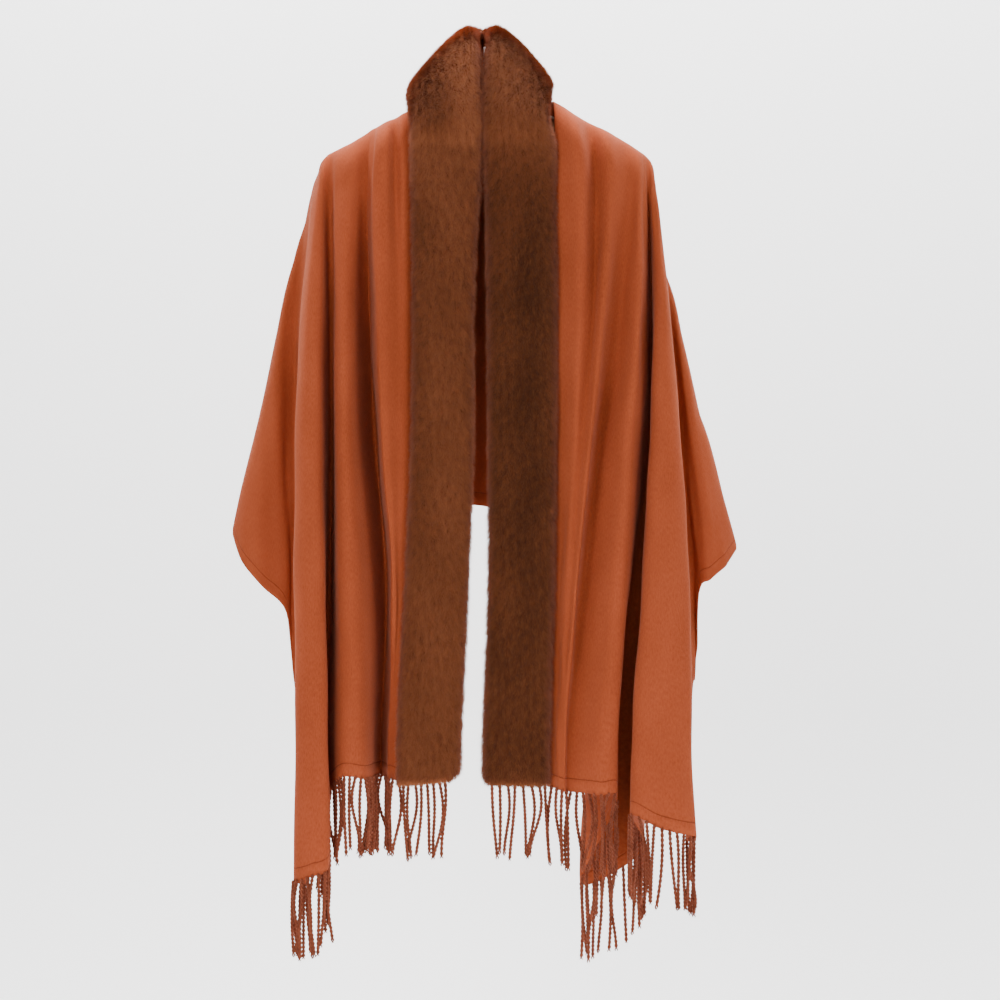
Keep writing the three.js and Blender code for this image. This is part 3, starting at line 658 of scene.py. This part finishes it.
def fur_surface(folds, side):
    """The band's core, as columns of a closed ring of points."""
    grid = fur_grid(folds, side, FUR_INSET, NECK_INSET)
    grid[-1, :, 0] = MEET_X + JOIN * side["sign"]
    normal = grid_normals(grid) * side["sign"]
    normal[-1, :, 0] = 0  # the end at the centre back is flat, where the two halves join
    normal /= np.linalg.norm(normal, axis=-1, keepdims=True)
    ends = np.ones(FUR_SECTIONS + 1)
    rounded = np.sqrt(1 - (1 - np.arange(END_SECTIONS) / END_SECTIONS) ** 2)
    ends[:END_SECTIONS] = rounded * (1 - END_SHARE) + END_SHARE
    bulge = crown()[None, :, None] * ends[:, None, None]
    front = grid + normal * FUR_CORE_OUT * bulge
    back = grid - normal * FUR_CORE_IN * bulge
    return np.concatenate([front, back[:, -2:0:-1]], axis=1)


def ring_faces(columns, around, flip):
    """The quads between rings of points that follow each other."""
    i, j = np.meshgrid(np.arange(columns - 1), np.arange(around), indexing="ij")
    a = (i * around + j).ravel()
    b = (i * around + (j + 1) % around).ravel()
    quad = np.stack([a, b, b + around, a + around], axis=-1)
    return quad[:, ::-1] if flip else quad


def build_fur_core(name, folds, side):
    surface = fur_surface(folds, side)
    columns, around = surface.shape[:2]
    quads = ring_faces(columns, around, side["sign"] < 0)
    obj = make_mesh(name, surface.reshape(-1, 3), quads)

    def close(bm):
        bmesh.ops.holes_fill(bm, edges=[e for e in bm.edges if e.is_boundary])
        bmesh.ops.recalc_face_normals(bm, faces=bm.faces)

    edit_mesh(obj, close)
    return obj


def surface_samples(surface, count, rng):
    """Even random points on the ring surface, their outward normals, and the direction along the band."""
    around = surface.shape[1]
    closed = np.concatenate([surface, surface[:, :1]], axis=1)
    along = closed[1:, :-1] - closed[:-1, :-1]
    across = closed[:-1, 1:] - closed[:-1, :-1]
    area = np.linalg.norm(np.cross(along, across), axis=-1)
    area[:, FUR_ACROSS + 1:-1] *= HIDDEN_SHARE
    area = area.ravel()
    i, j = np.divmod(rng.choice(area.size, size=count, p=area / area.sum()), around)
    s, t = rng.random((2, count))
    corner = closed[i, j]
    a, b = closed[i + 1, j] - corner, closed[i, j + 1] - corner
    point = corner + a * s[:, None] + b * t[:, None]
    wrapped = np.concatenate([closed[:, -2:-1], closed, closed[:, 1:2]], axis=1)
    normals = unit(np.cross(np.gradient(wrapped, axis=0), np.gradient(wrapped, axis=1)))[:, 1:-1]
    normal = unit(normals[i, j] * (1 - t[:, None]) + normals[i, j + 1] * t[:, None])
    crest = FUR_ACROSS // 2
    facing = np.sign(np.sum(normals[:, crest] * (surface[:, crest] - surface.mean(axis=1)), axis=1))
    return point, normal * facing[i][:, None], unit(a), (j + t) / around


def painted_shade_depth(point):
    """How dark the painted shade is at each point, from the patches."""
    depth = np.zeros(len(point))
    for _, x, z, wide, high, dark in PAINTED_SHADE_PATCHES:
        reach = ((point[:, 0] - x) / wide) ** 2 + ((point[:, 2] - z) / high) ** 2
        depth = np.maximum(depth, dark * np.exp(-(reach**1.5)))
    return depth


def painted_sheen_share(turn):
    """Painted sheen: 1 at the band's inner and outer edge, falling to 0 on its face."""
    from_edge = np.minimum(np.abs(turn), np.minimum(np.abs(turn - 0.5), np.abs(turn - 1)))
    return np.exp(-((from_edge / PAINTED_SHEEN_WIDTH) ** 2))


def hair_blades(point, normal, along, clump, sway, rng):
    """Three corners for each hair: two at its root and its tip."""
    count = len(point)
    lean = -along * (HAIR_LEAN + 0.15 * clump)[:, None]
    lean[:, 0] += HAIR_SWAY * sway
    lean += rng.normal(0, 0.16, (count, 3))
    direction = unit(normal * HAIR_STAND + lean)
    short = np.clip(np.linalg.norm(point - np.array(EYE), axis=1) / EYE_REACH, EYE_SHORTEST, 1)
    length = HAIR_LENGTH * short * (1 + 0.08 * clump + rng.normal(0, 0.12, count))
    middle = point + direction * (length * 0.5)[:, None]
    tip = middle + unit(direction + lean * HAIR_BEND) * (length * 0.5)[:, None]
    sideways = unit(np.cross(direction, normal + rng.normal(0, 0.25, (count, 3))))
    half = sideways * (HAIR_WIDTH / 2 * rng.uniform(0.7, 1.2, count))[:, None]
    return np.stack([point - half, point + half, tip], axis=1)


def hair_tones(point, turn, base, clump, cloud, rng):
    """For each corner of each hair: shade with painted light and painted shade, 1 at the tip, and painted
    sheen, 1 at the band's edges.
    """
    count = len(point)
    # Painted light: the pile is brighter over the shoulders.
    painted_light = DOME_PAINTED_LIGHT * np.clip((point[:, 2] - DOME_FROM) / DOME_OVER, 0, 1)
    shade = base + painted_light + 0.04 * clump + 0.07 * cloud + rng.normal(0, 0.07, count)
    tones = np.ones((count, 3, 4), np.float32)
    # Painted shade from the patches darkens the pile's tone.
    tones[:, :, 0] = np.clip(shade - PAINTED_SHADE_STRENGTH * painted_shade_depth(point), 0, 1)[:, None]
    tones[:, :, 1] = np.array([0, 0, 1])[None, :]
    # Painted sheen: the band's edges are paler.
    tones[:, :, 2] = painted_sheen_share(turn)[:, None]
    return tones


def build_hairs(name, folds, side, rng):
    """Fine short blades that stand on the band and lean down it."""
    surface = fur_surface(folds, side)
    point, normal, along, turn = surface_samples(surface, HAIRS_PER_PIECE, rng)
    x, z = point[:, 0], point[:, 2]
    clump = soft_noise(x, z * 0.45, rng, 14, 7)
    sway = soft_noise(x * 1.2, z * 0.5, rng, 14, 12)
    cloud = soft_noise(x, z * 0.5, rng, 9, 60)
    blades = hair_blades(point, normal, along, clump, sway, rng)
    obj = make_mesh(name, blades.reshape(-1, 3), np.arange(HAIRS_PER_PIECE * 3).reshape(-1, 3))
    tone = obj.data.attributes.new("tone", "FLOAT_COLOR", "POINT")
    tone.data.foreach_set("color", hair_tones(point, turn, side["shade"], clump, cloud, rng).ravel())
    return obj


def strand_roots(rim):
    """Evenly spaced places along the rim, measured level."""
    level = np.linalg.norm(np.diff(rim[:, :2], axis=0), axis=1)
    passed = np.concatenate([[0], np.cumsum(level)])
    places = (np.arange(STRANDS) + 0.5) / STRANDS * passed[-1]
    return np.stack([np.interp(places, passed, rim[:, k]) for k in range(3)], axis=-1)


def fringe_rim(folds, side):
    """The line under the fur and along the hem, up to the cloth's corner."""
    bottom = fur_grid(folds, side)[0]
    under = bottom[2:-4].copy()
    under[:, 2] = FUR_HEM + ROOT_UNDER_FUR
    corner = [f.name for f in folds].index("hidden turn")
    place = np.linspace(0, corner, corner * COLUMNS_PER_FOLD + 1)
    hem = hem_at(folds, place)
    points = front_points(folds, place[:, None], hem[:, None])[:, 0]
    points[:, 1] += CLOTH_THICK / 2
    points[:, 2] += ROOT_UNDER_HEM
    return np.concatenate([under, points])


def group_centres(roots, rng):
    """For each strand, the middle of the small group that it hangs in."""
    centres = roots.copy()
    first = 0
    while first < len(roots):
        size = rng.integers(1, GROUP_MOST + 1)
        centres[first:first + size] = roots[first:first + size].mean(axis=0)
        first += size
    return centres


def strand_line(root, centre, t, rng):
    """The middle line of a strand, and the angle of its twist."""
    length = STRAND_LENGTH * rng.uniform(1 - STRAND_VARY, 1 + STRAND_VARY)
    lean = rng.normal(0, STRAND_LEAN, 2) + (centre - root)[:2] * GATHER
    bow = rng.normal(0, STRAND_BOW, 2)
    phase = rng.uniform(0, 2 * math.pi)
    turns = PLY_TURNS * rng.uniform(0.85, 1.15)
    wave = np.sin(t * math.pi * rng.uniform(0.9, 1.8))
    x = root[0] + lean[0] * t + bow[0] * wave
    y = root[1] + lean[1] * t + bow[1] * wave
    return np.stack([x, y, root[2] - length * t], axis=-1), phase + turns * 2 * math.pi * t


def ply_rings(line, angle, t):
    """Rings of points round one ply of a strand."""
    opened = np.clip((t - OPENS_FROM) / (1 - OPENS_FROM), 0, 1)
    spread = PLY_RADIUS * (PLY_SPREAD + PLY_OPENING * opened)
    fade = np.where(t > FADES_FROM, (1 - t) / (1 - FADES_FROM) * (1 - END_SIZE) + END_SIZE, 1)
    around = np.arange(PLY_SIDES) / PLY_SIDES * 2 * math.pi
    ring = np.repeat(line[:, None, :], PLY_SIDES, axis=1)
    ring[..., 0] += (np.cos(angle) * spread)[:, None] + np.cos(around) * (PLY_RADIUS * fade)[:, None]
    ring[..., 1] += (np.sin(angle) * spread)[:, None] + np.sin(around) * (PLY_RADIUS * fade)[:, None]
    return ring


def build_fringe(name, folds, side, rng):
    roots = strand_roots(fringe_rim(folds, side))
    t = np.linspace(0, 1, PLY_STEPS + 1)
    plies = []
    for root, centre in zip(roots, group_centres(roots, rng)):
        line, angle = strand_line(root, centre, t, rng)
        plies += [ply_rings(line, angle, t), ply_rings(line, angle + math.pi, t)]
    per_ply = (PLY_STEPS + 1) * PLY_SIDES
    sides = ring_faces(PLY_STEPS + 1, PLY_SIDES, True)
    cap = np.arange(PLY_STEPS * PLY_SIDES, per_ply)[None, :]
    one = np.concatenate([sides, cap])
    faces = np.concatenate([one + n * per_ply for n in range(len(plies))])
    return make_mesh(name, np.concatenate([ring.reshape(-1, 3) for ring in plies]), faces)


NOISE_ROUGHNESS = 0.6


class Nodes:
    """A short way to build a material's node tree."""

    def __init__(self, name):
        self.material = bpy.data.materials.new(name)
        self.material.use_nodes = True
        self.tree = self.material.node_tree
        self.shader = self.tree.nodes["Principled BSDF"]

    def add(self, kind, inputs=None, **settings):
        node = self.tree.nodes.new(kind)
        for key, value in settings.items():
            setattr(node, key, value)
        for key, value in (inputs or {}).items():
            self.set(node.inputs[key], value)
        return node

    def set(self, socket, value):
        if isinstance(value, bpy.types.NodeSocket):
            self.tree.links.new(value, socket)
        else:
            socket.default_value = value

    def shade(self, **inputs):
        for key, value in inputs.items():
            self.set(self.shader.inputs[key.replace("_", " ")], value)

    def math(self, operation, a, b=0.0):
        return self.add("ShaderNodeMath", {0: a, 1: b}, operation=operation).outputs[0]

    def noise(self, vector, scale, detail=4.0):
        inputs = {"Vector": vector, "Scale": scale, "Detail": detail, "Roughness": NOISE_ROUGHNESS}
        return self.add("ShaderNodeTexNoise", inputs).outputs["Fac"]

    def ramp(self, value, stops):
        node = self.add("ShaderNodeValToRGB", {"Fac": value})
        elements = node.color_ramp.elements
        while len(elements) < len(stops):
            elements.new(0.5)
        for element, (position, colour) in zip(elements, stops):
            element.position = position
            element.color = (*colour, 1)
        return node.outputs["Color"]

    def scaled(self, vector, scale):
        return self.add("ShaderNodeMapping", {"Vector": vector, "Scale": scale}).outputs["Vector"]

    def bump(self, height, distance, strength=1.0):
        inputs = {"Height": height, "Distance": distance, "Strength": strength}
        return self.add("ShaderNodeBump", inputs).outputs["Normal"]

    def mix(self, share, a, b, blend="MIX"):
        node = self.add("ShaderNodeMix", data_type="RGBA", blend_type=blend)
        self.set(node.inputs[0], share)
        self.set(node.inputs[6], a if isinstance(a, bpy.types.NodeSocket) else (*a, 1))
        self.set(node.inputs[7], b if isinstance(b, bpy.types.NodeSocket) else (*b, 1))
        return node.outputs[2]


def wool_material():
    m = Nodes("brushed_wool")
    uv = m.add("ShaderNodeUVMap", uv_map="cloth").outputs["UV"]
    place = m.add("ShaderNodeTexCoord").outputs["Object"]
    cloud = m.noise(m.scaled(place, (1, 1, 0.4)), 14)
    nap = m.noise(m.scaled(uv, (1, 0.25, 1)), 900, 3)
    rust = [(0.3, (0.28, 0.053, 0.018)), (0.55, (0.325, 0.063, 0.0225)), (0.75, (0.355, 0.071, 0.026))]
    colour = m.ramp(cloud, rust)
    fibre = m.ramp(nap, [(0.3, (0.82, 0.8, 0.8)), (0.7, (1.12, 1.14, 1.16))])
    colour = m.mix(1.0, colour, fibre, "MULTIPLY")
    felt = m.noise(place, 260, 5)
    height = m.math("ADD", m.math("MULTIPLY", felt, 0.6), m.math("MULTIPLY", nap, 0.7))
    above = m.add("ShaderNodeAttribute", attribute_name="above_hem").outputs["Fac"]
    away = m.math("ABSOLUTE", m.math("SUBTRACT", above, STITCH_ABOVE))
    seam = m.math("MAXIMUM", m.math("SUBTRACT", 1.0, m.math("DIVIDE", away, STITCH_WIDTH)), 0.0)
    # Painted shade: the stitch groove is darkened in colour, on top of the groove in the bump below.
    colour = m.mix(m.math("MULTIPLY", seam, 0.55), colour, (0.11, 0.018, 0.006))
    height = m.math("SUBTRACT", height, m.math("MULTIPLY", seam, 2.0))
    m.shade(Base_Color=colour, Roughness=0.92, Normal=m.bump(height, 0.0008, 0.6))
    m.shade(Sheen_Weight=0.1, Sheen_Roughness=0.4, Sheen_Tint=(1.0, 0.6, 0.45, 1), Specular_IOR_Level=0.08)
    return m.material


def fur_material():
    m = Nodes("plush_fur")
    tone = m.add("ShaderNodeAttribute", attribute_name="tone").outputs["Color"]
    parts = m.add("ShaderNodeSeparateColor", {"Color": tone})
    shade, tip, rim = parts.outputs
    browns = [(0.1, (0.09, 0.03, 0.012)), (0.5, (0.32, 0.1, 0.039)), (0.9, (0.5, 0.17, 0.072))]
    body = m.ramp(shade, browns)
    # Painted sheen: the band's edges are mixed towards a pale pink.
    body = m.mix(m.math("MULTIPLY", rim, 0.6), body, (0.5, 0.18, 0.11))
    # Painted shade: each hair darkens towards its root, deep in the pile.
    root = m.mix(1.0, body, (0.55, 0.5, 0.5), "MULTIPLY")
    m.shade(Base_Color=m.mix(tip, root, body), Roughness=0.8, Specular_IOR_Level=0.08)
    m.shade(Sheen_Weight=0.04, Sheen_Roughness=0.5)
    return m.material


def pile_base_material():
    m = Nodes("pile_base")
    place = m.add("ShaderNodeTexCoord").outputs["Object"]
    speck = m.noise(place, 700, 3)
    colour = m.ramp(speck, [(0.3, (0.09, 0.024, 0.008)), (0.7, (0.17, 0.045, 0.015))])
    m.shade(Base_Color=colour, Roughness=0.95)
    m.shade(Normal=m.bump(speck, 0.0015), Specular_IOR_Level=0.1)
    return m.material


def yarn_material():
    m = Nodes("fringe_yarn")
    place = m.add("ShaderNodeTexCoord").outputs["Object"]
    cloud = m.noise(place, 60)
    fluff = m.noise(place, 1500, 3)
    colour = m.ramp(cloud, [(0.3, (0.17, 0.036, 0.016)), (0.7, (0.28, 0.07, 0.034))])
    m.shade(Base_Color=colour, Roughness=0.93, Normal=m.bump(fluff, 0.0008), Specular_IOR_Level=0.08)
    m.shade(Sheen_Weight=0.12, Sheen_Roughness=0.5, Sheen_Tint=(1.0, 0.6, 0.45, 1))
    return m.material


def wood_material():
    m = Nodes("hanger_wood")
    place = m.add("ShaderNodeTexCoord").outputs["Object"]
    grain = m.noise(m.scaled(place, (6, 60, 60)), 4, 6)
    colour = m.ramp(grain, [(0.35, (0.23, 0.12, 0.055)), (0.65, (0.36, 0.21, 0.1))])
    m.shade(Base_Color=colour, Roughness=0.45, Normal=m.bump(grain, 0.0004))
    return m.material


def steel_material():
    m = Nodes("hook_steel")
    place = m.add("ShaderNodeTexCoord").outputs["Object"]
    scratch = m.noise(m.scaled(place, (1, 1, 0.1)), 900)
    m.shade(Base_Color=(0.55, 0.55, 0.56, 1), Metallic=1.0, Normal=m.bump(scratch, 0.0001))
    m.shade(Roughness=0.35)
    return m.material


def stage_material():
    m = Nodes("stage_paper")
    m.shade(Base_Color=(0.96, 0.96, 0.96, 1), Roughness=0.95)
    m.shade(Emission_Color=(1, 1, 1, 1), Emission_Strength=0.48)
    return m.material


def paint(obj, material):
    obj.data.materials.clear()
    obj.data.materials.append(material)


def build_stage():
    """One sheet of paper: a wall behind and a floor below, with a round bend between."""
    line = [(PAPER_Y, PAPER_TOP), (PAPER_Y, PAPER_FLOOR + PAPER_BEND)]
    for k in range(1, PAPER_STEPS):
        angle = k / PAPER_STEPS * math.pi / 2
        y = PAPER_Y - PAPER_BEND * (1 - math.cos(angle))
        line.append((y, PAPER_FLOOR + PAPER_BEND * (1 - math.sin(angle))))
    line += [(PAPER_Y - PAPER_BEND, PAPER_FLOOR), (-PAPER_HALF, PAPER_FLOOR)]
    points = [(x / MM, y / MM, z / MM) for x in (-PAPER_HALF, PAPER_HALF) for y, z in line]
    n = len(line)
    paper = make_mesh("paper", points, [(i, i + 1, n + i + 1, n + i) for i in range(n - 1)])
    paint(paper, stage_material())


def area_light(name, place, aim, size, power):
    light = bpy.data.lights.new(name, "AREA")
    light.shape = "RECTANGLE"
    light.size, light.size_y = size
    light.energy = power
    obj = bpy.data.objects.new(name, light)
    obj.location = place
    obj.rotation_euler = (Vector(aim) - Vector(place)).to_track_quat("-Z", "Y").to_euler()
    bpy.context.scene.collection.objects.link(obj)


def build_lights():
    for name, row in LIGHTS.items():
        area_light(name, *row)
    world = bpy.data.worlds.new("world")
    world.use_nodes = True
    background = world.node_tree.nodes["Background"]
    background.inputs["Color"].default_value = WORLD_COLOUR
    background.inputs["Strength"].default_value = WORLD_STRENGTH
    bpy.context.scene.world = world


def build_camera():
    camera = bpy.data.objects.new("camera", bpy.data.cameras.new("camera"))
    camera.data.sensor_width = SENSOR
    camera.data.lens = SENSOR * CAMERA_AWAY / FRAME_WIDTH
    camera.location = (CAMERA_X, -CAMERA_AWAY, CAMERA_Z)
    camera.rotation_euler = (math.pi / 2, 0, 0)
    bpy.context.scene.collection.objects.link(camera)
    bpy.context.scene.camera = camera


SIDES = (("left", LEFT_FOLDS, FUR_LEFT), ("right", RIGHT_FOLDS, FUR_RIGHT))


def dress_fringes(rng):
    yarn = yarn_material()
    fringes = []
    for name, folds, side in SIDES:
        fringe = build_fringe("fringe_yarn_" + name, folds, side, rng)
        paint(fringe, yarn)
        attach(fringe, "root")
        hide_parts("fringe_" + name)
        fringes.append(fringe)
    return fringes


def dress_fur(rng):
    pile, base = fur_material(), pile_base_material()
    for name, folds, side in SIDES:
        core = build_fur_core("fur_base_" + name, folds, side)
        paint(core, base)
        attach(core, "root")
        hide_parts("fur_collar_" + name)
        for number in range(PIECES_PER_SIDE):
            hairs = build_hairs(f"fur_pile_{name}_{number + 1}", folds, side, rng)
            paint(hairs, pile)
            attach(hairs, "root")


def main():
    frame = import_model()
    rng = np.random.default_rng(SEED)
    shawl = build_shawl(rng)
    paint(shawl, wool_material())
    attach(shawl, "root")
    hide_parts("shawl_front_left", "shawl_front_right", "shawl_back")
    fringes = dress_fringes(rng)
    dress_fur(rng)
    paint(frame["nodes"]["hanger_arms"], wood_material())
    paint(frame["nodes"]["hanger_hook"], steel_material())
    build_stage()
    build_lights()
    build_camera()


main()
